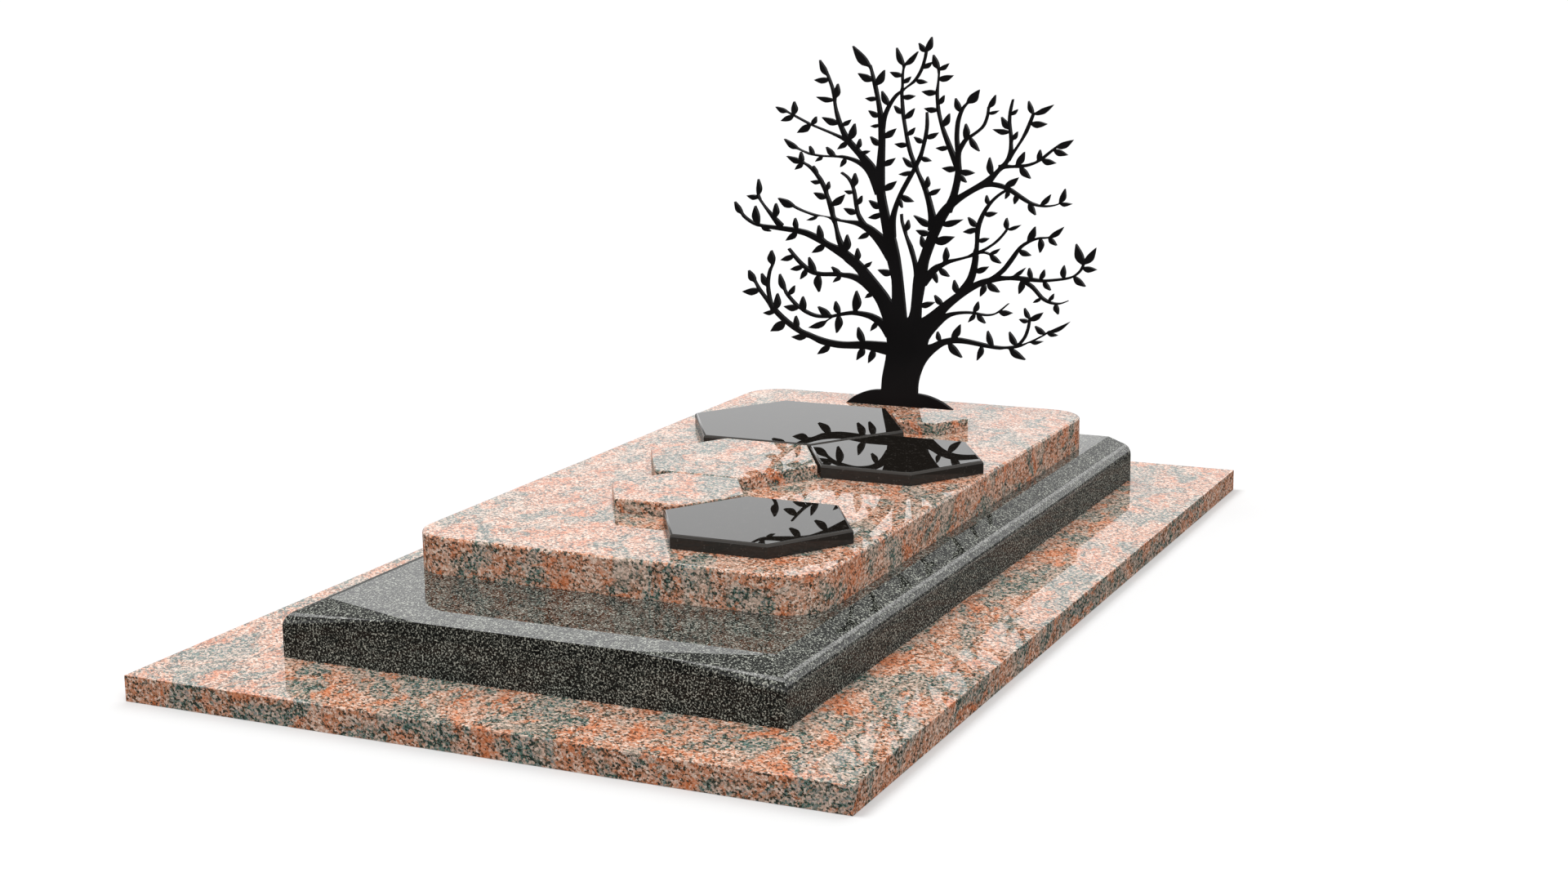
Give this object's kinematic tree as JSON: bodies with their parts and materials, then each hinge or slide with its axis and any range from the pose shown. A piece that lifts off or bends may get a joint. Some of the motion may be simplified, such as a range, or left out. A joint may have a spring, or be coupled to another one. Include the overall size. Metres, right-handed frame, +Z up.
{
  "type": "granite grave monument",
  "caption": "Low granite grave monument: wide flat base, dark sloped plinth, pink slab with rounded corners, hexagonal plaques and an upright cut-out tree at the head.",
  "frame": {"origin": "middle of the underside of the base slab", "axes": "+X to the right seen from the front, +Y from the front to the head where the tree stands, +Z up"},
  "size_m": [1.4, 2.3, 1.0794],
  "materials": {
    "granite_pink": "polished granite, coarse pink, white and dark grains",
    "granite_dark": "polished granite, dark with fine grey speckle",
    "granite_black": "polished black granite",
    "tree_black": "gloss black paint on cut steel plate"
  },
  "bodies": {
    "root": {"base_slab": "granite_pink", "plinth": "granite_dark", "tomb_slab": "granite_pink", "plaque_black_rear": "granite_black", "plaque_black_middle": "granite_black", "plaque_black_front": "granite_black", "plaque_pink_middle": "granite_pink", "plaque_pink_front": "granite_pink", "plaque_pink_rear": "granite_pink", "tree": "tree_black"}
  },
  "joints": []
}
